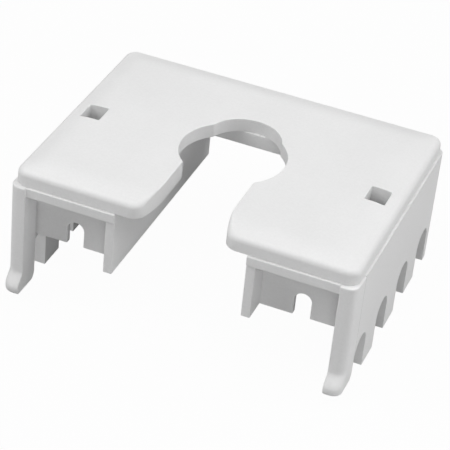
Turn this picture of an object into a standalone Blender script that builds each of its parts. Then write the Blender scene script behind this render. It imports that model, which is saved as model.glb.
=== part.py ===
"""Clip-in desk cable outlet: a cover plate with a keyhole, on a carrier with comb sides.

Frame: +X to the right, the cable mouth at -Y, +Z up, origin at the centre of the box's base.
Depths are measured back from the front of the ledge, heights up or down from the ledge.
"""
import math

import bmesh
import bpy

MM = 0.001
GAP = 0.3 * MM

# The ledge is the rim of the carrier that the cover stands on.
WIDTH = 80.0 * MM
DEPTH = 61.6 * MM
LEDGE_HEIGHT = 29.2 * MM
CORNER_RADIUS = 2.8 * MM

# Cover plate
COVER_HEIGHT = 4.5 * MM
COVER_TOP_THICKNESS = 3.1 * MM
COVER_INSET = 0.3 * MM
COVER_ROUND = 2.5 * MM
SKIRT = 2.0 * MM
NECK_HALF = 8.35 * MM
NECK_RIM = 2.3 * MM
MOUTH_HALF = 12.6 * MM
MOUTH_RADIUS = 3.3 * MM
FLARE_DEPTH = 10.5 * MM
LOBE_RADIUS = 12.1 * MM
LOBE_CENTRE = 29.1 * MM
CROWN_RADIUS = 8.5 * MM
CROWN_CENTRE = 35.7 * MM
WINDOW_X = 34.0 * MM
WINDOW_Y = 29.3 * MM
WINDOW_SIZE = (4.65 * MM, 5.55 * MM)

# Base plate of the carrier
PLATE_THICKNESS = 2.4 * MM
PLATFORM_HEIGHT = 1.1 * MM
PLATFORM_INSET = 2.6 * MM
CHANNEL_HALF = 15.2 * MM
CHANNEL_DEPTH = 43.7 * MM

# Walls below the base plate
WALL_BOTTOM = 15.9 * MM
NECK_WALL = 2.1 * MM
NECK_WALL_START = 0.4 * MM
NECK_WALL_END = 55.9 * MM
CROSS_WALL = 1.5 * MM
FRONT_CROSS_Y = 6.4 * MM
REAR_CROSS_Y = 54.4 * MM
NOTCH_X = 26.8 * MM
NOTCH_WIDTH = 3.9 * MM
NOTCH_TOP = 9.9 * MM
REAR_WALL_BOTTOM = 8.0 * MM

# Comb side walls and the corner legs
SIDE_WALL = 2.7 * MM
SLOT_COUNT = 4
SLOT_FIRST = 9.55 * MM
SLOT_PITCH = 14.85 * MM
SLOT_WIDTH = 7.6 * MM
SLOT_TOP = 18.25 * MM
LEG_WIDTH = 3.8 * MM
LEG_PROUD = 0.5 * MM
LEG_BACK = SLOT_FIRST - SLOT_WIDTH / 2
LEG_ROUND = 2.0 * MM
FOOT_TOP = SLOT_TOP + GAP
FOOT_BOTTOM = 27.6 * MM
FOOT_KICK = 2.7 * MM
FOOT_KICK_START = 22.9 * MM
FOOT_KICK_FULL = 25.1 * MM
FOOT_TOE_RADIUS = 1.5 * MM
FOOT_HEEL = 2.2 * MM
FOOT_ROUND = 1.2 * MM
HINGE_Y = 3.1 * MM

FRONT = -(DEPTH - FOOT_KICK) / 2
ARC_STEPS = 8
CUT_MARGIN = 2.0 * MM


def clear_scene():
    for old in list(bpy.data.objects):
        bpy.data.objects.remove(old, do_unlink=True)


def new_collection(name):
    collection = bpy.data.collections.new(name)
    bpy.context.scene.collection.children.link(collection)
    return collection


def plastic(name, colour, roughness):
    material = bpy.data.materials.new(name)
    material.use_nodes = True
    shader = material.node_tree.nodes["Principled BSDF"]
    shader.inputs["Base Color"].default_value = (*colour, 1.0)
    shader.inputs["Roughness"].default_value = roughness
    shader.inputs["Metallic"].default_value = 0.0
    return material


def arc(centre, radius, start, end, steps=ARC_STEPS):
    """Points on an arc from start to end, in degrees, both ends included."""
    points = []
    for step in range(steps + 1):
        angle = math.radians(start + (end - start) * step / steps)
        points.append((centre[0] + radius * math.cos(angle), centre[1] + radius * math.sin(angle)))
    return points


def mirrored(points):
    """The same points across the centre plane, in the opposite order."""
    return [(-x, y) for x, y in reversed(points)]


def smooth(obj, angle=35.0):
    obj.data.shade_smooth()
    obj.data.set_sharp_from_angle(angle=math.radians(angle))


def prism(name, outline, thickness, collection):
    """A flat outline made thick, centred on its own XY plane, as a welded mesh."""
    curve = bpy.data.curves.new(name, "CURVE")
    curve.dimensions = "2D"
    curve.fill_mode = "BOTH"
    curve.extrude = thickness / 2
    spline = curve.splines.new("POLY")
    spline.points.add(len(outline) - 1)
    for point, (x, y) in zip(spline.points, outline):
        point.co = (x, y, 0.0, 1.0)
    spline.use_cyclic_u = True
    source = bpy.data.objects.new(name + "_outline", curve)
    collection.objects.link(source)
    bpy.context.view_layer.update()
    evaluated = source.evaluated_get(bpy.context.evaluated_depsgraph_get())
    mesh = bpy.data.meshes.new_from_object(evaluated)
    bpy.data.objects.remove(source, do_unlink=True)
    bm = bmesh.new()
    bm.from_mesh(mesh)
    bmesh.ops.remove_doubles(bm, verts=bm.verts, dist=0.00001)
    bmesh.ops.dissolve_limit(bm, angle_limit=math.radians(1.0), verts=bm.verts, edges=bm.edges)
    bmesh.ops.recalc_face_normals(bm, faces=bm.faces)
    bm.to_mesh(mesh)
    bm.free()
    mesh.name = name
    obj = bpy.data.objects.new(name, mesh)
    collection.objects.link(obj)
    return obj


def block(name, low, high, collection):
    """A box from its low to its high corner, with its origin at its centre."""
    mesh = bpy.data.meshes.new(name)
    size = [b - a for a, b in zip(low, high)]
    bm = bmesh.new()
    bmesh.ops.create_cube(bm, size=1.0)
    bmesh.ops.scale(bm, vec=size, verts=bm.verts)
    bm.to_mesh(mesh)
    bm.free()
    obj = bpy.data.objects.new(name, mesh)
    obj.location = [(a + b) / 2 for a, b in zip(low, high)]
    collection.objects.link(obj)
    return obj


def round_edges(obj, radius, segments, wanted):
    """Rounds the edges whose two end points both satisfy wanted(point)."""
    bm = bmesh.new()
    bm.from_mesh(obj.data)
    edges = [e for e in bm.edges if wanted(e.verts[0].co) and wanted(e.verts[1].co)]
    bmesh.ops.bevel(bm, geom=edges, offset=radius, segments=segments, profile=0.5, affect="EDGES")
    bm.to_mesh(obj.data)
    bm.free()


def boolean(obj, other, operation):
    modifier = obj.modifiers.new(other.name, "BOOLEAN")
    modifier.operation = operation
    modifier.solver = "EXACT"
    modifier.object = other


def hide(obj):
    obj.hide_render = True
    obj.display_type = "WIRE"


def stand_upright(obj, x, y, z):
    """Turns a prism so that its outline's x runs along +Y, its y up and its depth along +X."""
    obj.rotation_euler = (math.radians(90), 0.0, math.radians(90))
    obj.location = (x, y, z)


def keyhole_half():
    """Right half of the cable opening, from the front of the mouth to the crown."""
    front = FRONT + COVER_INSET
    mouth = arc((MOUTH_HALF, front + MOUTH_RADIUS), MOUTH_RADIUS, 270, 192)
    start = mouth[-1]
    flare_length = FRONT + FLARE_DEPTH - start[1]
    flare = []
    for step in range(1, ARC_STEPS // 2 + 1):
        t = step / (ARC_STEPS // 2)
        ease = (1.0 - t) ** 2
        flare.append((NECK_HALF + (start[0] - NECK_HALF) * ease, start[1] + flare_length * t))
    low = math.degrees(math.acos(NECK_HALF / LOBE_RADIUS))
    apart = CROWN_CENTRE - LOBE_CENTRE
    rise = (apart ** 2 + LOBE_RADIUS ** 2 - CROWN_RADIUS ** 2) / (2 * apart)
    high = math.degrees(math.asin(rise / LOBE_RADIUS))
    crown_low = math.degrees(math.asin((rise - apart) / CROWN_RADIUS))
    lobe = arc((0.0, FRONT + LOBE_CENTRE), LOBE_RADIUS, -low, high, 2 * ARC_STEPS)
    crown = arc((0.0, FRONT + CROWN_CENTRE), CROWN_RADIUS, crown_low, 90)
    return mouth + flare + lobe + crown[1:]


def keyhole_cutter(cutters):
    """Solid of the opening, open past the front edge and past both faces."""
    half = keyhole_half()
    overrun = FRONT - CUT_MARGIN
    right = half[::-1] + [(MOUTH_HALF, overrun)]
    outline = mirrored(right[1:]) + right
    cutter = prism("keyhole_cutter", outline, COVER_HEIGHT + 2 * CUT_MARGIN, cutters)
    cutter.location.z = LEDGE_HEIGHT + COVER_HEIGHT / 2
    hide(cutter)
    return cutter


def pocket_cutter(cutters):
    """Hollow below the cover plate: it leaves the skirt and the rims along the neck."""
    side = WIDTH / 2 - COVER_INSET - SKIRT
    near = FRONT + COVER_INSET + SKIRT
    far = FRONT + DEPTH - COVER_INSET - SKIRT
    rim = NECK_HALF + NECK_RIM
    cusp = FRONT + LOBE_CENTRE - math.sqrt(LOBE_RADIUS ** 2 - NECK_HALF ** 2)
    half = [(side, far), (side, near), (rim, near), (rim, cusp)]
    outline = half + mirrored(half)
    height = COVER_HEIGHT - COVER_TOP_THICKNESS + CUT_MARGIN
    cutter = prism("pocket_cutter", outline, height, cutters)
    cutter.location.z = LEDGE_HEIGHT + COVER_HEIGHT - COVER_TOP_THICKNESS - height / 2
    hide(cutter)
    return cutter


def window_cutter(side, cutters):
    low_x = side * WINDOW_X - WINDOW_SIZE[0] / 2
    low_y = FRONT + WINDOW_Y - WINDOW_SIZE[1] / 2
    low = (low_x, low_y, LEDGE_HEIGHT - PLATE_THICKNESS - CUT_MARGIN)
    high_z = LEDGE_HEIGHT + COVER_HEIGHT + CUT_MARGIN
    high = (low_x + WINDOW_SIZE[0], low_y + WINDOW_SIZE[1], high_z)
    cutter = block("window_cutter_right" if side > 0 else "window_cutter_left", low, high, cutters)
    hide(cutter)
    return cutter


def cover_plate(parts, cutters, windows):
    half_x = WIDTH / 2 - COVER_INSET
    low = (-half_x, FRONT + COVER_INSET, LEDGE_HEIGHT + GAP)
    high = (half_x, FRONT + DEPTH - COVER_INSET, LEDGE_HEIGHT + COVER_HEIGHT)
    plate = block("cover_plate", low, high, parts)
    half_y = (high[1] - low[1]) / 2
    half_z = (high[2] - low[2]) / 2

    def on_corner(point):
        return abs(abs(point.x) - half_x) < GAP and abs(abs(point.y) - half_y) < GAP

    bm = bmesh.new()
    bm.from_mesh(plate.data)
    upright = [e for e in bm.edges if abs(e.verts[0].co.z - e.verts[1].co.z) > half_z]
    upright = [e for e in upright if on_corner(e.verts[0].co)]
    bmesh.ops.bevel(bm, geom=upright, offset=CORNER_RADIUS, segments=6, profile=0.5, affect="EDGES")
    bm.to_mesh(plate.data)
    bm.free()
    round_edges(plate, COVER_ROUND, 5, lambda point: point.z > half_z - GAP)
    boolean(plate, keyhole_cutter(cutters), "DIFFERENCE")
    boolean(plate, pocket_cutter(cutters), "DIFFERENCE")
    for window in windows:
        boolean(plate, window, "DIFFERENCE")
    return plate


def base_outline(side, front, back, leg_clear):
    """U-shaped outline around the cable channel, with its front corners left for the legs."""
    inner = WIDTH / 2 - LEG_WIDTH - GAP
    half = [
        (CHANNEL_HALF, FRONT + CHANNEL_DEPTH),
        (CHANNEL_HALF, front),
        (inner, front),
        (inner, FRONT + leg_clear),
        (side, FRONT + leg_clear),
        (side, back),
    ]
    return half + mirrored(half)


def base_plate(parts, cutters, windows):
    side = WIDTH / 2 - SIDE_WALL - GAP
    leg_clear = LEG_BACK + GAP
    outline = base_outline(side, FRONT, FRONT + DEPTH, leg_clear)
    plate = prism("base_plate", outline, PLATE_THICKNESS, parts)
    plate.location.z = LEDGE_HEIGHT - PLATE_THICKNESS / 2
    near = FRONT + PLATFORM_INSET
    far = FRONT + DEPTH - PLATFORM_INSET
    height = PLATFORM_HEIGHT + PLATE_THICKNESS / 2
    outline = base_outline(side - GAP, near, far, leg_clear + GAP)
    platform = prism("platform", outline, height, cutters)
    platform.location.z = LEDGE_HEIGHT + PLATFORM_HEIGHT - height / 2
    hide(platform)
    boolean(plate, platform, "UNION")
    for window in windows:
        boolean(plate, window, "DIFFERENCE")
    return plate


def side_wall(side, parts):
    """Slotted wall with arched cable slots, open downwards, and teeth between them."""
    radius = SLOT_WIDTH / 2
    start = LEG_BACK + GAP
    outline = [(DEPTH, 0.0), (start, 0.0)]
    for slot in range(SLOT_COUNT):
        centre = SLOT_FIRST + slot * SLOT_PITCH
        spring = -(SLOT_TOP + radius)
        arch = arc((centre, spring), radius, 180, 0, 2 * ARC_STEPS)
        if slot == 0:
            arch = [point for point in arch if point[0] > start]
            edge = math.sqrt(radius ** 2 - (centre - start) ** 2)
            outline.append((start, spring + edge))
        else:
            outline.append((centre - radius, -LEDGE_HEIGHT))
        outline.extend(arch)
        outline.append((centre + radius, -LEDGE_HEIGHT))
    outline.append((DEPTH, -LEDGE_HEIGHT))
    name = "right_side_wall" if side > 0 else "left_side_wall"
    wall = prism(name, outline, SIDE_WALL, parts)
    outer = side * SIDE_WALL / 2
    round_edges(
        wall, LEG_ROUND, 5, lambda point: abs(point.z - outer) < GAP and point.x > DEPTH - GAP
    )
    stand_upright(wall, side * (WIDTH - SIDE_WALL) / 2, FRONT, LEDGE_HEIGHT)
    return wall


def corner_post(side, parts):
    name = "right_corner_post" if side > 0 else "left_corner_post"
    centre = side * (WIDTH - LEG_WIDTH) / 2
    low = (centre - LEG_WIDTH / 2, FRONT - LEG_PROUD, LEDGE_HEIGHT - SLOT_TOP)
    high = (centre + LEG_WIDTH / 2, FRONT + LEG_BACK, LEDGE_HEIGHT)
    post = block(name, low, high, parts)
    outer = side * LEG_WIDTH / 2
    near = (low[1] - high[1]) / 2
    round_edges(
        post, LEG_ROUND, 5, lambda point: abs(point.x - outer) < GAP and point.y < near + GAP
    )
    return post


def clip_foot(side, parts):
    """Lower end of a front leg, with a toe that hooks forwards; its origin is on its flex axis."""
    toe = (-FOOT_KICK + FOOT_TOE_RADIUS, -FOOT_BOTTOM + FOOT_TOE_RADIUS)
    outline = [(LEG_BACK, -FOOT_TOP), (-LEG_PROUD, -FOOT_TOP), (-LEG_PROUD, -FOOT_KICK_START)]
    outline.append((-FOOT_KICK, -FOOT_KICK_FULL))
    outline.extend(arc(toe, FOOT_TOE_RADIUS, 180, 270, ARC_STEPS // 2))
    outline.append((LEG_BACK - FOOT_HEEL, -FOOT_BOTTOM))
    outline.append((LEG_BACK, -FOOT_BOTTOM + FOOT_HEEL))
    outline = [(y - HINGE_Y, z + FOOT_TOP) for y, z in outline]
    name = "right_clip_foot" if side > 0 else "left_clip_foot"
    foot = prism(name, outline, LEG_WIDTH, parts)
    outer = side * LEG_WIDTH / 2
    front = -LEG_PROUD - HINGE_Y
    round_edges(
        foot,
        FOOT_ROUND,
        3,
        lambda point: abs(point.z - outer) < GAP and point.x < front + GAP and point.y < GAP,
    )
    stand_upright(foot, side * (WIDTH - LEG_WIDTH) / 2, FRONT + HINGE_Y, LEDGE_HEIGHT - FOOT_TOP)
    return foot


def neck_wall(side, parts):
    name = "right_neck_wall" if side > 0 else "left_neck_wall"
    centre = side * (CHANNEL_HALF + NECK_WALL / 2)
    low = (centre - NECK_WALL / 2, FRONT + NECK_WALL_START, LEDGE_HEIGHT - WALL_BOTTOM)
    top = LEDGE_HEIGHT - PLATE_THICKNESS - GAP
    return block(name, low, (centre + NECK_WALL / 2, FRONT + NECK_WALL_END, top), parts)


def cross_wall(side, depth, name, parts):
    """Wall across a bay with an arched notch in its lower edge."""
    inner = CHANNEL_HALF + NECK_WALL + GAP
    outer = WIDTH / 2 - SIDE_WALL - GAP
    radius = NOTCH_WIDTH / 2
    outline = [(outer, -PLATE_THICKNESS - GAP), (inner, -PLATE_THICKNESS - GAP)]
    outline.append((inner, -WALL_BOTTOM))
    outline.append((NOTCH_X - radius, -WALL_BOTTOM))
    outline.extend(arc((NOTCH_X, -NOTCH_TOP - radius), radius, 180, 0))
    outline.append((NOTCH_X + radius, -WALL_BOTTOM))
    outline.append((outer, -WALL_BOTTOM))
    if side < 0:
        outline = mirrored(outline)
    wall = prism(name, outline, CROSS_WALL, parts)
    wall.rotation_euler = (math.radians(90), 0.0, 0.0)
    wall.location = (0.0, FRONT + depth + CROSS_WALL / 2, LEDGE_HEIGHT)
    return wall


def rear_wall(parts):
    half = CHANNEL_HALF - GAP
    low = (-half, FRONT + REAR_CROSS_Y, LEDGE_HEIGHT - REAR_WALL_BOTTOM)
    high_z = LEDGE_HEIGHT - PLATE_THICKNESS - GAP
    return block("rear_wall", low, (half, FRONT + REAR_CROSS_Y + CROSS_WALL, high_z), parts)


def build():
    clear_scene()
    parts = new_collection("desk_grommet")
    cutters = new_collection("cutters")
    cover_white = plastic("cover_white", (0.83, 0.83, 0.83), 0.55)
    carrier_white = plastic("carrier_white", (0.80, 0.80, 0.80), 0.6)
    windows = [window_cutter(side, cutters) for side in (-1, 1)]
    cover = cover_plate(parts, cutters, windows)
    pieces = [base_plate(parts, cutters, windows), rear_wall(parts)]
    for side, word in ((-1, "left"), (1, "right")):
        pieces.append(side_wall(side, parts))
        pieces.append(corner_post(side, parts))
        pieces.append(clip_foot(side, parts))
        pieces.append(neck_wall(side, parts))
        pieces.append(cross_wall(side, FRONT_CROSS_Y, "front_" + word + "_cross_wall", parts))
        pieces.append(cross_wall(side, REAR_CROSS_Y, "rear_" + word + "_cross_wall", parts))
    cover.data.materials.append(cover_white)
    for piece in pieces:
        piece.data.materials.append(carrier_white)
    for obj in [cover] + pieces:
        smooth(obj)


build()
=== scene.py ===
import math

import bmesh
import bpy
from mathutils import Matrix, Vector


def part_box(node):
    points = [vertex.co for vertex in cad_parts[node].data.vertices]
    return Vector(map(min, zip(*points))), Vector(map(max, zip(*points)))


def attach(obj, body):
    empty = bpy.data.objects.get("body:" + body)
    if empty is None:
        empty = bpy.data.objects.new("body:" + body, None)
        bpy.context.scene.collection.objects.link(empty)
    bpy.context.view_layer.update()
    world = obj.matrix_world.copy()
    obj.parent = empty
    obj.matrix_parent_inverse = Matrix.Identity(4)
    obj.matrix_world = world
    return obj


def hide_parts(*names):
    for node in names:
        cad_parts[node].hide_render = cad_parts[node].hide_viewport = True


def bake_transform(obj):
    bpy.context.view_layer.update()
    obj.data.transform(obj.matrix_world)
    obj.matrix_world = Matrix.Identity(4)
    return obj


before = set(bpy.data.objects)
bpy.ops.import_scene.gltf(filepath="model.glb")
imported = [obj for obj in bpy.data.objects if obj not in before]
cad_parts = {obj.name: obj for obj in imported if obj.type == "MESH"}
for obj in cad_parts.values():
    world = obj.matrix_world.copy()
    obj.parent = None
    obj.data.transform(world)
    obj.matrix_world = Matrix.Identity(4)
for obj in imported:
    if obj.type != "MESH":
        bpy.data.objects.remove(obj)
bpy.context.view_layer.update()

MM = 0.001

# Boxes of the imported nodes, which the visual pieces are built on.
plate_low, plate_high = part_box("cover_plate")
wall_low, wall_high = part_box("right_side_wall")
post_low, post_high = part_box("right_corner_post")
foot_low, foot_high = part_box("right_clip_foot")
neck_low, neck_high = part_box("right_neck_wall")
front_low, front_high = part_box("front_right_cross_wall")
rear_low, rear_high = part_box("rear_right_cross_wall")
back_low, back_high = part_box("rear_wall")

HALF_WIDTH = wall_high.x
REAR = wall_high.y
LEDGE = wall_high.z
TOP = plate_high.z
GAP = 0.3 * MM
FRONT = plate_low.y - GAP
STEP_IN = 0.2 * MM
COVER_HALF = plate_high.x - STEP_IN
COVER_FRONT = plate_low.y + STEP_IN
COVER_REAR = plate_high.y - STEP_IN
POST_FRONT = post_low.y

# Cover: its seat, corners and edges, then how its top falls away towards them.
SEAT = 0.04 * MM
THICK = 3.1 * MM
SKIRT = 2.0 * MM
CORNER = 2.8 * MM
ROUND = 1.4 * MM
LIP = 0.22 * MM
BOTTOM_EDGE = 0.06 * MM
FALL = 0.8 * MM
FALL_RUN = 5.0 * MM
FALL_CUTS = (0.0, 0.08, 0.18, 0.3, 0.44, 0.6, 0.78, 1.0)
FALL_SKIP = 0.1 * MM

# Keyhole: mouth, flare, neck, then the two arcs of its round part, with their centres.
MOUTH_HALF = 12.6 * MM
MOUTH_RADIUS = 3.3 * MM
MOUTH_END = 192
MARGIN = 0.25 * MM
FLARE = 10.5 * MM
LIP_RUN = FLARE * 0.8
LIP_POWER = 0.7
NECK_HALF = 8.35 * MM
NECK_RIM = 2.3 * MM
LOBE = 12.1 * MM
LOBE_Y = 29.1 * MM
CROWN = 8.5 * MM
CROWN_Y = 35.7 * MM
RIM = 1.3 * MM
RIM_PLAY = 0.01 * MM

# Windows through the cover and the carrier
WINDOW = (33.97 * MM, 29.3 * MM)
WINDOW_HALF = (2.325 * MM, 2.775 * MM)
WINDOW_CORNER = 0.35 * MM
WINDOW_EDGE = 0.2 * MM
WINDOW_REACH = 5 * MM
WINDOW_CUT = 1.0 * MM
COLLAR = 1.0 * MM
OVERLAP = 0.5 * MM

# Carrier's plate and the platform on it
PLATE = 2.4 * MM
PLATE_EDGE = 0.3 * MM
PLATE_INTO_WALL = 0.2 * MM
PLATFORM = 1.1 * MM
PLATFORM_INSET = 2.6 * MM
PLATFORM_EDGE = 0.2 * MM
PLATFORM_PLAY = 0.4 * MM
CHANNEL_HALF = 15.2 * MM
CHANNEL_DEPTH = 43.7 * MM
PLAY = 0.05 * MM

# Carrier's walls
WALL_INTO = 0.3 * MM
NOTCH_X = 26.85 * MM
NOTCH_HALF = 1.97 * MM
NOTCH_TOP = 9.9 * MM
CROSS_EDGE = 0.2 * MM
NECK_EDGE = 0.25 * MM
SLOT_COUNT = 4
SLOT_FIRST = 9.55 * MM
SLOT_PITCH = 14.85 * MM
SLOT_HALF = 3.8 * MM
SLOT_TOP = 18.25 * MM
COMB_EDGE = 0.22 * MM
COMB_CORNER = 2.0 * MM
NEAR = 0.1 * MM

# Front legs: radii, and the heights between which the toe swings forwards
LEG_BACK = SLOT_FIRST - SLOT_HALF
LEG_ROUND = 2.2 * MM
LEG_EDGE = 0.3 * MM
SOLE = 0.6 * MM
KICK = 2.7 * MM
KICK_START = 22.3 * MM
KICK_FULL = 25.6 * MM
TOE = 1.5 * MM
HEEL = 2.4 * MM

# Smooth shading keeps edges sharper than SHARP degrees, and round_sharp rounds those
# sharper than ROUNDED.
SHARP = 32.0
ROUNDED = 40.0
MITRE_LIMIT = 0.45
REPEAT = 0.02 * MM
ON_PLANE = 0.002 * MM


# ---------------------------------------------------------------- mesh helpers
def arc(centre, radius, start, end, steps):
    points = []
    for step in range(steps + 1):
        angle = math.radians(start + (end - start) * step / steps)
        points.append((centre[0] + radius * math.cos(angle), centre[1] + radius * math.sin(angle)))
    return points


def mirrored(points):
    return [(-x, y) for x, y in reversed(points)]


def clean(points):
    """Drops points that repeat the one before."""
    kept = []
    for point in points:
        if not kept or math.dist(point, kept[-1]) > REPEAT:
            kept.append(point)
    if math.dist(kept[0], kept[-1]) <= REPEAT:
        kept.pop()
    return kept


def inward(points):
    """Direction into the material at each point of a counter-clockwise outline, mitred."""
    count = len(points)
    result = []
    for i in range(count):
        before, here, after = points[i - 1], points[i], points[(i + 1) % count]
        a = Vector((here[0] - before[0], here[1] - before[1])).normalized()
        b = Vector((after[0] - here[0], after[1] - here[1])).normalized()
        normal = Vector((-a.y - b.y, a.x + b.x)).normalized()
        result.append(normal / max(normal.dot(Vector((-a.y, a.x))), MITRE_LIMIT))
    return result


def add_ring(bm, points, directions, shift, height):
    return [
        bm.verts.new((p[0] + d.x * s, p[1] + d.y * s, h))
        for p, d, s, h in zip(points, directions, shift, height)
    ]


def bridge(bm, low, high):
    count = len(low)
    for i in range(count):
        j = (i + 1) % count
        bm.faces.new((low[i], low[j], high[j], high[i]))


def loop_edges(bm, ring):
    count = len(ring)
    return [bm.edges.get((ring[i], ring[(i + 1) % count])) for i in range(count)]


def cap(bm, rings):
    edges = [edge for ring in rings for edge in loop_edges(bm, ring)]
    bmesh.ops.triangle_fill(bm, use_beauty=True, use_dissolve=True, edges=edges)


def to_object(bm, name):
    bmesh.ops.recalc_face_normals(bm, faces=bm.faces)
    mesh = bpy.data.meshes.new(name)
    bm.to_mesh(mesh)
    bm.free()
    obj = bpy.data.objects.new(name, mesh)
    bpy.context.scene.collection.objects.link(obj)
    return obj


def smooth(obj):
    """Smooth shading that keeps flat faces flat."""
    obj.data.shade_smooth()
    obj.data.set_sharp_from_angle(angle=math.radians(SHARP))
    weighted = obj.modifiers.new("weighted", "WEIGHTED_NORMAL")
    weighted.keep_sharp = True
    weighted.weight = 80


def rounded_solid(name, outline, low, high, top_radii, bottom_radius, holes, hole_radius):
    """A thick plate whose top edge has its own radius at each point of the outline."""
    steps = 9
    bm = bmesh.new()
    directions = inward(outline)
    count = len(outline)
    rings = []
    for step in range(4):
        angle = math.radians(30 * step)
        shift = bottom_radius * (1 - math.sin(angle))
        height = low + bottom_radius * (1 - math.cos(angle))
        rings.append(add_ring(bm, outline, directions, [shift] * count, [height] * count))
    for step in range(steps + 1):
        angle = math.radians(90 * step / steps)
        shift = [r * (1 - math.cos(angle)) for r in top_radii]
        height = [high - r + r * math.sin(angle) for r in top_radii]
        rings.append(add_ring(bm, outline, directions, shift, height))
    for a, b in zip(rings, rings[1:]):
        bridge(bm, a, b)
    top, bottom = [rings[-1]], [rings[0]]
    for hole in holes:
        around = inward(hole)
        size = len(hole)
        inner = [add_ring(bm, hole, around, [-hole_radius] * size, [low] * size)]
        inner.append(add_ring(bm, hole, around, [0.0] * size, [low + hole_radius] * size))
        for step in range(5):
            angle = math.radians(90 * step / 4)
            shift = [-hole_radius * (1 - math.cos(angle))] * size
            height = [high - hole_radius * (1 - math.sin(angle))] * size
            inner.append(add_ring(bm, hole, around, shift, height))
        for a, b in zip(inner, inner[1:]):
            bridge(bm, a, b)
        top.append(inner[-1])
        bottom.append(inner[0])
    cap(bm, top)
    cap(bm, bottom)
    return to_object(bm, name)


def sharp_prism(outline, low, high):
    bm = bmesh.new()
    bottom = [bm.verts.new((x, y, low)) for x, y in outline]
    top = [bm.verts.new((x, y, high)) for x, y in outline]
    bm.faces.new(list(reversed(bottom)))
    bm.faces.new(top)
    bridge(bm, bottom, top)
    bmesh.ops.recalc_face_normals(bm, faces=bm.faces)
    return bm


def mirror(bm):
    """Turns a right-hand solid into the left-hand one."""
    bm.transform(Matrix.Scale(-1, 4, (1, 0, 0)))


def round_sharp(bm, radius, segments, keep=None):
    """Rounds every sharp edge, apart from those that keep() names."""
    edges = [
        e for e in bm.edges
        if len(e.link_faces) == 2 and e.calc_face_angle() > math.radians(ROUNDED)
        and not (keep and keep(e))
    ]
    bmesh.ops.bevel(
        bm, geom=edges, offset=radius, segments=segments, profile=0.5,
        affect="EDGES", clamp_overlap=True,
    )


def combine(obj, other, operation):
    """Applies a boolean of obj with other to obj, and removes other."""
    modifier = obj.modifiers.new("combine", "BOOLEAN")
    modifier.operation = operation
    modifier.solver = "EXACT"
    modifier.object = other
    bpy.context.view_layer.update()
    depsgraph = bpy.context.evaluated_depsgraph_get()
    mesh = bpy.data.meshes.new_from_object(obj.evaluated_get(depsgraph))
    obj.modifiers.clear()
    obj.data = mesh
    bpy.data.objects.remove(other, do_unlink=True)


def cut(obj, bm, name):
    """Takes the solid in bm out of obj."""
    combine(obj, to_object(bm, name), "DIFFERENCE")


def join(obj, bm, name):
    """Unites the solid in bm with obj."""
    combine(obj, to_object(bm, name), "UNION")


# ---------------------------------------------------------------- outlines
def keyhole_right():
    """Right half of the opening, from the front edge of the mouth to the crown."""
    mouth = arc((MOUTH_HALF, COVER_FRONT + MOUTH_RADIUS), MOUTH_RADIUS, 270, MOUTH_END, 22)
    start = mouth[-1]
    run = FRONT + FLARE - start[1]
    flare = []
    for step in range(1, 15):
        t = step / 14
        ease = (1.0 - t) ** 2
        flare.append((NECK_HALF + (start[0] - NECK_HALF) * ease, start[1] + run * t))
    around = lobes(0.0)
    cusp_y = around[0][1]
    straight = [
        (NECK_HALF, flare[-1][1] + (cusp_y - flare[-1][1]) * step / 6) for step in range(1, 6)
    ]
    return mouth + flare + straight + around


def lobes(extra):
    """Right half of the round part of the opening, its arcs larger by extra."""
    lobe, crown = LOBE + extra, CROWN + extra
    apart = CROWN_Y - LOBE_Y
    rise = (apart ** 2 + lobe ** 2 - crown ** 2) / (2 * apart)
    low = -math.degrees(math.acos(NECK_HALF / LOBE))
    points = arc((0.0, FRONT + LOBE_Y), lobe, low, math.degrees(math.asin(rise / lobe)), 44)
    start = math.degrees(math.asin((rise - apart) / crown))
    return points + arc((0.0, FRONT + CROWN_Y), crown, start, 90, 26)[1:]


def cover_outline():
    """Counter-clockwise outline of the cover, and its top edge's radius at each point."""
    x, y0, y1 = COVER_HALF, COVER_FRONT, COVER_REAR
    right_hand = (
        arc((x - CORNER, y0 + CORNER), CORNER, -90, 0, 14)
        + arc((x - CORNER, y1 - CORNER), CORNER, 0, 90, 14)
    )
    hole = keyhole_right()
    outline = hole[::-1] + right_hand
    outline = clean(outline + mirrored(outline))
    radii = []
    for px, py in outline:
        inside = abs(px) < MOUTH_HALF + MARGIN and py < FRONT + CROWN_Y + CROWN + MARGIN
        if not inside:
            radii.append(ROUND)
            continue
        t = min(max((py - COVER_FRONT) / LIP_RUN, 0.0), 1.0)
        ease = t * t * (3 - 2 * t)
        radii.append(ROUND + (LIP - ROUND) * ease ** LIP_POWER)
    return outline, radii


def window_outline(side):
    x, y = side * WINDOW[0], FRONT + WINDOW[1]
    a, b = WINDOW_HALF
    r = WINDOW_CORNER
    points = (
        arc((x + a - r, y - b + r), r, -90, 0, 4) + arc((x + a - r, y + b - r), r, 0, 90, 4)
        + arc((x - a + r, y + b - r), r, 90, 180, 4) + arc((x - a + r, y - b + r), r, 180, 270, 4)
    )
    return points


# ---------------------------------------------------------------- materials
def node(tree, kind, **values):
    made = tree.nodes.new(kind)
    for name, value in values.items():
        setattr(made, name, value)
    return made


# Noise scale, detail and roughness of the plastic's patterns.
FINE_GRAIN = (5200.0, 2.0, 0.5)
COARSE_GRAIN = (1700.0, 3.0, 0.6)
FLOW_MARKS = (55.0, 3.0, 0.55)
CLOUDS = (18.0, 2.0, 0.5)
GRAIN_DEPTH = 0.03 * MM


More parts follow.
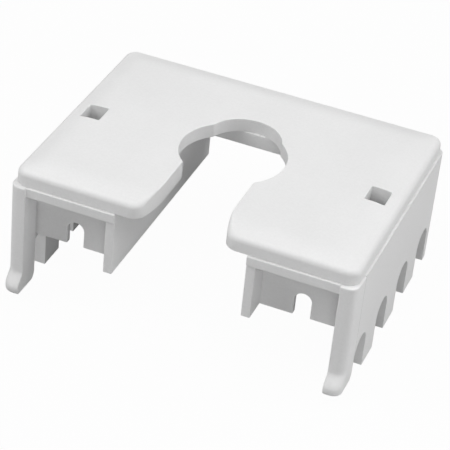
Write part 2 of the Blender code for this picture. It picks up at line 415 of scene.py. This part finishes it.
def plastic(name, shade, rough, grain, seed):
    """White moulded plastic: spark-eroded grain, faint flow marks and faint clouds."""
    material = bpy.data.materials.new(name)
    material.use_nodes = True
    tree = material.node_tree
    links = tree.links
    shader = tree.nodes["Principled BSDF"]
    shader.inputs["IOR"].default_value = 1.5
    shader.inputs["Specular IOR Level"].default_value = 0.35
    shader.inputs["Subsurface Weight"].default_value = 0.0
    coords = node(tree, "ShaderNodeTexCoord")
    mapping = node(tree, "ShaderNodeMapping")
    mapping.inputs["Location"].default_value = (seed, seed * 0.37, -seed)
    links.new(coords.outputs["Object"], mapping.inputs["Vector"])

    def noise(scale, detail, roughness):
        made = node(tree, "ShaderNodeTexNoise")
        made.inputs["Scale"].default_value = scale
        made.inputs["Detail"].default_value = detail
        made.inputs["Roughness"].default_value = roughness
        links.new(mapping.outputs["Vector"], made.inputs["Vector"])
        return made

    def ramp(source, low, high, first, last):
        made = node(tree, "ShaderNodeMapRange")
        made.inputs["From Min"].default_value = low
        made.inputs["From Max"].default_value = high
        made.inputs["To Min"].default_value = first
        made.inputs["To Max"].default_value = last
        links.new(source, made.inputs["Value"])
        return made.outputs["Result"]

    fine = noise(*FINE_GRAIN)
    coarse = noise(*COARSE_GRAIN)
    flow = noise(*FLOW_MARKS)
    cloud = noise(*CLOUDS)
    total = node(tree, "ShaderNodeMath", operation="MULTIPLY")
    links.new(ramp(flow.outputs["Fac"], 0.3, 0.7, 0.988, 1.012), total.inputs[0])
    links.new(ramp(cloud.outputs["Fac"], 0.35, 0.65, 0.99, 1.01), total.inputs[1])
    speck = node(tree, "ShaderNodeMath", operation="MULTIPLY")
    links.new(total.outputs[0], speck.inputs[0])
    links.new(ramp(coarse.outputs["Fac"], 0.3, 0.7, 0.982, 1.018), speck.inputs[1])
    tint = node(tree, "ShaderNodeVectorMath", operation="SCALE")
    tint.inputs[0].default_value = shade
    links.new(speck.outputs[0], tint.inputs["Scale"])
    links.new(tint.outputs["Vector"], shader.inputs["Base Color"])
    gloss = ramp(flow.outputs["Fac"], 0.3, 0.7, rough - 0.05, rough + 0.05)
    links.new(gloss, shader.inputs["Roughness"])

    height = node(tree, "ShaderNodeMath", operation="ADD")
    links.new(ramp(fine.outputs["Fac"], 0.0, 1.0, 0.0, 0.5), height.inputs[0])
    links.new(ramp(coarse.outputs["Fac"], 0.0, 1.0, 0.0, 1.0), height.inputs[1])
    bump = node(tree, "ShaderNodeBump")
    bump.inputs["Strength"].default_value = grain
    bump.inputs["Distance"].default_value = GRAIN_DEPTH
    links.new(height.outputs[0], bump.inputs["Height"])
    links.new(bump.outputs["Normal"], shader.inputs["Normal"])
    return material


cover_plastic = plastic("cover_plastic", (0.80, 0.80, 0.80), 0.52, 0.5, 0.0)
carrier_plastic = plastic("carrier_plastic", (0.79, 0.79, 0.79), 0.56, 0.35, 3.1)


def place(obj, material, slot, body, *nodes):
    obj.data.materials.clear()
    obj.data.materials.append(material)
    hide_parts(*nodes)
    if body:
        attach(obj, body)


# ---------------------------------------------------------------- cover
def fall_away(obj):
    """Lets the top fall away gently towards the four outer edges."""
    bm = bmesh.new()
    bm.from_mesh(obj.data)
    start_x = COVER_HALF - ROUND
    ends = ((COVER_FRONT + ROUND, 1), (COVER_REAR - ROUND, -1))
    for part in FALL_CUTS:
        inset = FALL_RUN * part
        planes = [((side * (start_x - inset), 0, 0), (1, 0, 0)) for side in (-1, 1)]
        planes += [((0, y + turn * inset, 0), (0, 1, 0)) for y, turn in ends]
        for point, normal in planes:
            geometry = bm.verts[:] + bm.edges[:] + bm.faces[:]
            bmesh.ops.bisect_plane(
                bm, geom=geometry, dist=ON_PLANE, plane_co=point, plane_no=normal,
            )
    for vert in bm.verts:
        height = vert.co.z - (TOP - THICK)
        weight = min(max(height / (THICK - ROUND - FALL_SKIP), 0.0), 1.0)
        away = (start_x - abs(vert.co.x), min((vert.co.y - y) * turn for y, turn in ends))
        past = [1.0 - min(max(d / FALL_RUN, 0.0), 1.0) for d in away]
        flat = (1.0 - past[0] ** 2) * (1.0 - past[1] ** 2)
        vert.co.z -= FALL * (1.0 - flat) * weight
    bm.to_mesh(obj.data)
    bm.free()


def make_cover():
    outline, radii = cover_outline()
    low = LEDGE + SEAT
    windows = [window_outline(side) for side in (-1, 1)]
    cover = rounded_solid(
        "cover", outline, low, TOP, radii, BOTTOM_EDGE, windows, WINDOW_EDGE,
    )
    fall_away(cover)
    side = COVER_HALF - SKIRT
    near, far = COVER_FRONT + SKIRT, COVER_REAR - SKIRT
    rim = NECK_HALF + NECK_RIM
    cusp = FRONT + LOBE_Y - math.sqrt(LOBE ** 2 - NECK_HALF ** 2)
    half = [(side, far), (side, near), (rim, near), (rim, cusp)]
    pocket = sharp_prism(clean(half + mirrored(half))[::-1], LEDGE - PLATE, TOP - THICK)
    cut(cover, pocket, "pocket")
    inner, outer = lobes(RIM_PLAY), lobes(RIM)
    inner += mirrored(inner)[1:]
    outer += mirrored(outer)[1:]
    foot, head = LEDGE + PLATFORM + SEAT, TOP - THICK + OVERLAP
    rim_solid = sharp_prism(inner + outer[::-1], foot, head)
    join(cover, rim_solid, "rim")
    for side in (-1, 1):
        x, y = side * WINDOW[0], FRONT + WINDOW[1]
        a, b = WINDOW_HALF[0] + COLLAR, WINDOW_HALF[1] + COLLAR
        outer = [(x + a, y - b), (x + a, y + b), (x - a, y + b), (x - a, y - b)]
        collar = sharp_prism(outer, foot, head)
        join(cover, collar, "collar")
        window = sharp_prism(window_outline(side), LEDGE, head + WINDOW_CUT)
        cut(cover, window, "window")
    smooth(cover)
    place(cover, cover_plastic, "cover", "cover", "cover_plate")


# ---------------------------------------------------------------- carrier
def make_base():
    """Ledge and raised platform of the carrier, with the two windows through both."""
    inner = wall_low.x + PLATE_INTO_WALL
    near_clear = LEG_BACK + PLAY
    leg_inner = post_low.x + PLAY
    channel_back = (CHANNEL_HALF, FRONT + CHANNEL_DEPTH)
    outline = [
        channel_back, (CHANNEL_HALF, FRONT), (leg_inner, FRONT),
        (leg_inner, FRONT + near_clear), (inner, FRONT + near_clear), (inner, REAR),
    ]
    bm = sharp_prism(clean(outline + mirrored(outline)), LEDGE - PLATE, LEDGE)

    def hidden(edge):
        middle = (edge.verts[0].co + edge.verts[1].co) / 2
        return abs(middle.x) > leg_inner - NEAR

    round_sharp(bm, PLATE_EDGE, 4, keep=hidden)
    base = to_object(bm, "base_plate_skin")
    side = HALF_WIDTH - PLATFORM_INSET - PLATFORM_PLAY
    near, far = FRONT + PLATFORM_INSET, REAR - PLATFORM_INSET
    beside_leg, behind_leg = leg_inner - PLATFORM_PLAY, FRONT + near_clear + GAP
    platform = [
        channel_back, (CHANNEL_HALF, near), (beside_leg, near), (beside_leg, behind_leg),
        (side, behind_leg), (side, far),
    ]
    bm = sharp_prism(clean(platform + mirrored(platform)), LEDGE - OVERLAP, LEDGE + PLATFORM)
    round_sharp(bm, PLATFORM_EDGE, 2)
    join(base, bm, "platform")
    # The shelf completes the platform over the legs, which the platform itself goes round.
    shelf = [channel_back, (CHANNEL_HALF, near), (side, near), (side, far)]
    bm = sharp_prism(clean(shelf + mirrored(shelf)), LEDGE + PLAY, LEDGE + PLATFORM)
    round_sharp(bm, PLATFORM_EDGE, 2)
    join(base, bm, "shelf")
    for side in (-1, 1):
        outline = window_outline(side)
        cut(base, sharp_prism(outline, LEDGE - WINDOW_REACH, LEDGE + WINDOW_REACH), "window")
    smooth(base)
    place(base, carrier_plastic, "carrier", "carrier", "base_plate")


def upright(x, y, z):
    """Outline x runs along +Y, outline y up, and depth along +X."""
    return Matrix(((0, 0, 1, x), (1, 0, 0, y), (0, 1, 0, z), (0, 0, 0, 1)))


def across(y, z):
    """Outline x runs along +X, outline y up, and depth along +Y."""
    return Matrix(((1, 0, 0, 0), (0, 0, -1, y), (0, 1, 0, z), (0, 0, 0, 1)))


def make_comb(side, word):
    start = LEG_BACK + PLAY
    depth = REAR - FRONT
    outline = [(depth, 0.0), (start, 0.0)]
    for slot in range(SLOT_COUNT):
        centre = SLOT_FIRST + slot * SLOT_PITCH
        spring = -(SLOT_TOP + SLOT_HALF)
        points = arc((centre, spring), SLOT_HALF, 180, 0, 24)
        if slot == 0:
            points = [p for p in points if p[0] > start + NEAR]
            rise = math.sqrt(SLOT_HALF ** 2 - (centre - start) ** 2)
            outline.append((start, spring + rise))
        else:
            outline.append((centre - SLOT_HALF, -LEDGE))
        outline += points
        outline.append((centre + SLOT_HALF, -LEDGE))
    outline.append((depth, -LEDGE))
    outer = wall_high.x - wall_low.x
    bm = sharp_prism(clean(outline), 0.0, outer)
    corner = [
        e for e in bm.edges
        if all(v.co.x > depth - NEAR and v.co.z > outer - NEAR for v in e.verts)
    ]
    bmesh.ops.bevel(bm, geom=corner, offset=COMB_CORNER, segments=8, profile=0.5, affect="EDGES")
    round_sharp(bm, COMB_EDGE, 3)
    x = wall_low.x if side > 0 else -wall_low.x
    bm.transform(upright(0.0, FRONT, LEDGE))
    if side < 0:
        mirror(bm)
    bm.transform(Matrix.Translation((x, 0, 0)))
    comb = to_object(bm, word + "_comb_wall")
    smooth(comb)
    place(comb, carrier_plastic, "carrier", "carrier", word + "_side_wall")


def leg_section(z, bottom):
    """Front, back and side inset of the front leg at height z, which is 0 at the ledge."""
    front = POST_FRONT - FRONT
    t = min(max((-KICK_START - z) / (KICK_FULL - KICK_START), 0.0), 1.0)
    low_y = front + (-KICK - front) * t * t * (3 - 2 * t)
    high_y = LEG_BACK
    toe, heel = max(bottom + TOE - z, 0.0), max(bottom + HEEL - z, 0.0)
    low_y += TOE - math.sqrt(max(TOE ** 2 - toe ** 2, 0.0))
    high_y -= HEEL - math.sqrt(max(HEEL ** 2 - heel ** 2, 0.0))
    sole, brow = max(bottom + SOLE - z, 0.0), max(z + LEG_EDGE, 0.0)
    inset = SOLE - math.sqrt(max(SOLE ** 2 - sole ** 2, 0.0))
    lid = LEG_EDGE - math.sqrt(max(LEG_EDGE ** 2 - brow ** 2, 0.0))
    return low_y + lid, high_y - lid, inset + lid


def make_leg(side, word):
    """Front leg in one piece, from the ledge down to its toe."""
    bottom = foot_low.z - LEDGE
    width = post_high.x - post_low.x
    heights = {-LEG_EDGE * (1 - math.sin(math.radians(22.5 * step))) for step in range(5)}
    heights |= {-KICK_START * step / 40 for step in range(1, 41)}
    heights |= {-KICK_START - (KICK_FULL - KICK_START) * step / 10 for step in range(1, 10)}
    heights |= {bottom + HEEL * (1 - math.sin(math.radians(7.5 * step))) for step in range(13)}
    bm = bmesh.new()
    rings = []
    for z in sorted(heights):
        low_y, high_y, inset = leg_section(z, bottom)
        small = LEG_EDGE
        large = min(LEG_ROUND, width - 2 * inset - small - NEAR)
        near, far = inset, width - inset
        points = arc((far - large, low_y + large), large, -90, 0, 10)
        points += arc((far - small, high_y - small), small, 0, 90, 3)
        points += arc((near + small, high_y - small), small, 90, 180, 3)
        points += arc((near + small, low_y + small), small, 180, 270, 3)
        rings.append([
            bm.verts.new((side * (post_low.x + x), FRONT + y, LEDGE + z)) for x, y in points
        ])
    for low, high in zip(rings, rings[1:]):
        bridge(bm, low, high)
    bm.faces.new(rings[0])
    bm.faces.new(rings[-1])
    leg = to_object(bm, word + "_front_leg")
    smooth(leg)
    place(leg, carrier_plastic, "carrier", None, word + "_corner_post", word + "_clip_foot")
    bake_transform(leg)


def rounded_box(low, high):
    """Box between two corners with lightly rounded edges."""
    bm = bmesh.new()
    bmesh.ops.create_cube(bm, size=1.0)
    bmesh.ops.scale(bm, vec=high - low, verts=bm.verts)
    bmesh.ops.translate(bm, vec=(high + low) / 2, verts=bm.verts)
    round_sharp(bm, NECK_EDGE, 3)
    return bm


def make_neck_wall(side, word):
    top = LEDGE - PLATE + WALL_INTO
    bm = rounded_box(Vector(neck_low), Vector((neck_high.x, neck_high.y, top)))
    if side < 0:
        mirror(bm)
    wall = to_object(bm, word + "_neck_wall_skin")
    smooth(wall)
    place(wall, carrier_plastic, "carrier", "carrier", word + "_neck_wall")


def make_cross_wall(side, low, high, node_name):
    inner = neck_high.x - WALL_INTO
    outer = wall_low.x + WALL_INTO
    top, bottom = -PLATE + WALL_INTO, low.z - LEDGE
    outline = [(outer, top), (inner, top), (inner, bottom)]
    outline.append((NOTCH_X - NOTCH_HALF, bottom))
    outline += arc((NOTCH_X, -NOTCH_TOP - NOTCH_HALF), NOTCH_HALF, 180, 0, 18)
    outline += [(NOTCH_X + NOTCH_HALF, bottom), (outer, bottom)]
    bm = sharp_prism(clean(outline), 0.0, high.y - low.y)
    round_sharp(bm, CROSS_EDGE, 2)
    bm.transform(across(high.y, LEDGE))
    if side < 0:
        mirror(bm)
    wall = to_object(bm, node_name + "_skin")
    smooth(wall)
    place(wall, carrier_plastic, "carrier", "carrier", node_name)


def make_rear_wall():
    half = neck_low.x + WALL_INTO
    low = Vector((-half, back_low.y, back_low.z))
    high = Vector((half, back_high.y, LEDGE - PLATE + WALL_INTO))
    wall = to_object(rounded_box(low, high), "rear_wall_skin")
    smooth(wall)
    place(wall, carrier_plastic, "carrier", "carrier", "rear_wall")


make_cover()
make_base()
make_rear_wall()
for side, word in ((-1, "left"), (1, "right")):
    make_comb(side, word)
    make_leg(side, word)
    make_neck_wall(side, word)
    make_cross_wall(side, front_low, front_high, "front_" + word + "_cross_wall")
    make_cross_wall(side, rear_low, rear_high, "rear_" + word + "_cross_wall")


# ---------------------------------------------------------------- floor, light and camera
BACKDROP = 0.97
FLOOR_SHADE = 0.5
FLOOR_HALF = 3.0
FLOOR_DROP = 0.02 * MM
WORLD_FILL = 0.04
AIM = (0.0, 0.0, 0.0)
# Name, place in metres, width and power of each soft box.
LAMPS = (
    ("top_lamp", (0.0, -0.05, 0.9), 0.6, 2.85),
    ("front_lamp", (0.35, -0.85, 0.45), 0.4, 1.62),
    ("right_lamp", (0.85, -0.15, 0.3), 0.5, 2.2),
    ("rear_right_lamp", (0.5, 0.4, 0.65), 0.5, 2.9),
    ("left_lamp", (-0.6, -0.3, 0.6), 0.5, 4.0),
)


def make_floor():
    bm = bmesh.new()
    bmesh.ops.create_grid(bm, x_segments=1, y_segments=1, size=FLOOR_HALF)
    floor = to_object(bm, "floor")
    floor.location.z = -FLOOR_DROP
    material = bpy.data.materials.new("floor_white")
    material.use_nodes = True
    tree = material.node_tree
    shader = tree.nodes["Principled BSDF"]
    shader.inputs["Base Color"].default_value = (FLOOR_SHADE, FLOOR_SHADE, FLOOR_SHADE, 1.0)
    shader.inputs["Roughness"].default_value = 0.9
    shader.inputs["Specular IOR Level"].default_value = 0.1
    glow = node(tree, "ShaderNodeEmission")
    glow.inputs["Color"].default_value = (1.0, 1.0, 1.0, 1.0)
    seen = node(tree, "ShaderNodeLightPath")
    part = node(tree, "ShaderNodeMath", operation="MULTIPLY")
    part.inputs[1].default_value = BACKDROP
    mix = node(tree, "ShaderNodeMixShader")
    tree.links.new(seen.outputs["Is Camera Ray"], part.inputs[0])
    tree.links.new(part.outputs[0], mix.inputs["Fac"])
    tree.links.new(shader.outputs["BSDF"], mix.inputs[1])
    tree.links.new(glow.outputs["Emission"], mix.inputs[2])
    tree.links.new(mix.outputs["Shader"], tree.nodes["Material Output"].inputs["Surface"])
    floor.data.materials.append(material)


def area_light(name, place_at, width, power):
    data = bpy.data.lights.new(name, "AREA")
    data.shape = "SQUARE"
    data.size = width
    data.energy = power
    light = bpy.data.objects.new(name, data)
    light.location = place_at
    away = Vector(place_at) - Vector(AIM)
    light.rotation_mode = "QUATERNION"
    light.rotation_quaternion = away.to_track_quat("Z", "Y")
    bpy.context.scene.collection.objects.link(light)


def make_world(fill, backdrop):
    """Faint fill light all round, in front of a plain white backdrop."""
    world = bpy.data.worlds.new("studio")
    world.use_nodes = True
    tree = world.node_tree
    background = tree.nodes["Background"]
    background.inputs["Color"].default_value = (1.0, 1.0, 1.0, 1.0)
    seen = node(tree, "ShaderNodeLightPath")
    strength = node(tree, "ShaderNodeMapRange")
    strength.inputs["To Min"].default_value = fill
    strength.inputs["To Max"].default_value = backdrop
    tree.links.new(seen.outputs["Is Camera Ray"], strength.inputs["Value"])
    tree.links.new(strength.outputs["Result"], background.inputs["Strength"])
    bpy.context.scene.world = world


# Azimuth, elevation and roll in degrees, lens in millimetres, and the place of the camera.
CAMERA_TURN = (18.85, 34.65, 5.97)
CAMERA_LENS = 154.95
CAMERA_PLACE = (116.66 * MM, FRONT - 313.05 * MM, LEDGE + 234.78 * MM)


def make_camera():
    azimuth, elevation, roll = (math.radians(angle) for angle in CAMERA_TURN)
    back = Vector((
        math.sin(azimuth) * math.cos(elevation),
        -math.cos(azimuth) * math.cos(elevation),
        math.sin(elevation),
    ))
    right = (-back).cross(Vector((0, 0, 1))).normalized()
    up = right.cross(-back)
    turned_right = right * math.cos(roll) + up * math.sin(roll)
    turned_up = up * math.cos(roll) - right * math.sin(roll)
    data = bpy.data.cameras.new("camera")
    data.sensor_width = 36.0
    data.lens = CAMERA_LENS
    data.clip_start, data.clip_end = 0.01, 10.0
    camera = bpy.data.objects.new("camera", data)
    camera.rotation_mode = "QUATERNION"
    turned = Matrix((turned_right, turned_up, back)).transposed()
    camera.rotation_quaternion = turned.to_quaternion()
    camera.location = CAMERA_PLACE
    bpy.context.scene.collection.objects.link(camera)
    bpy.context.scene.camera = camera


make_floor()
make_world(WORLD_FILL, BACKDROP)
for name, place_at, width, power in LAMPS:
    area_light(name, place_at, width, power)
make_camera()
bpy.context.scene.view_settings.view_transform = "Standard"
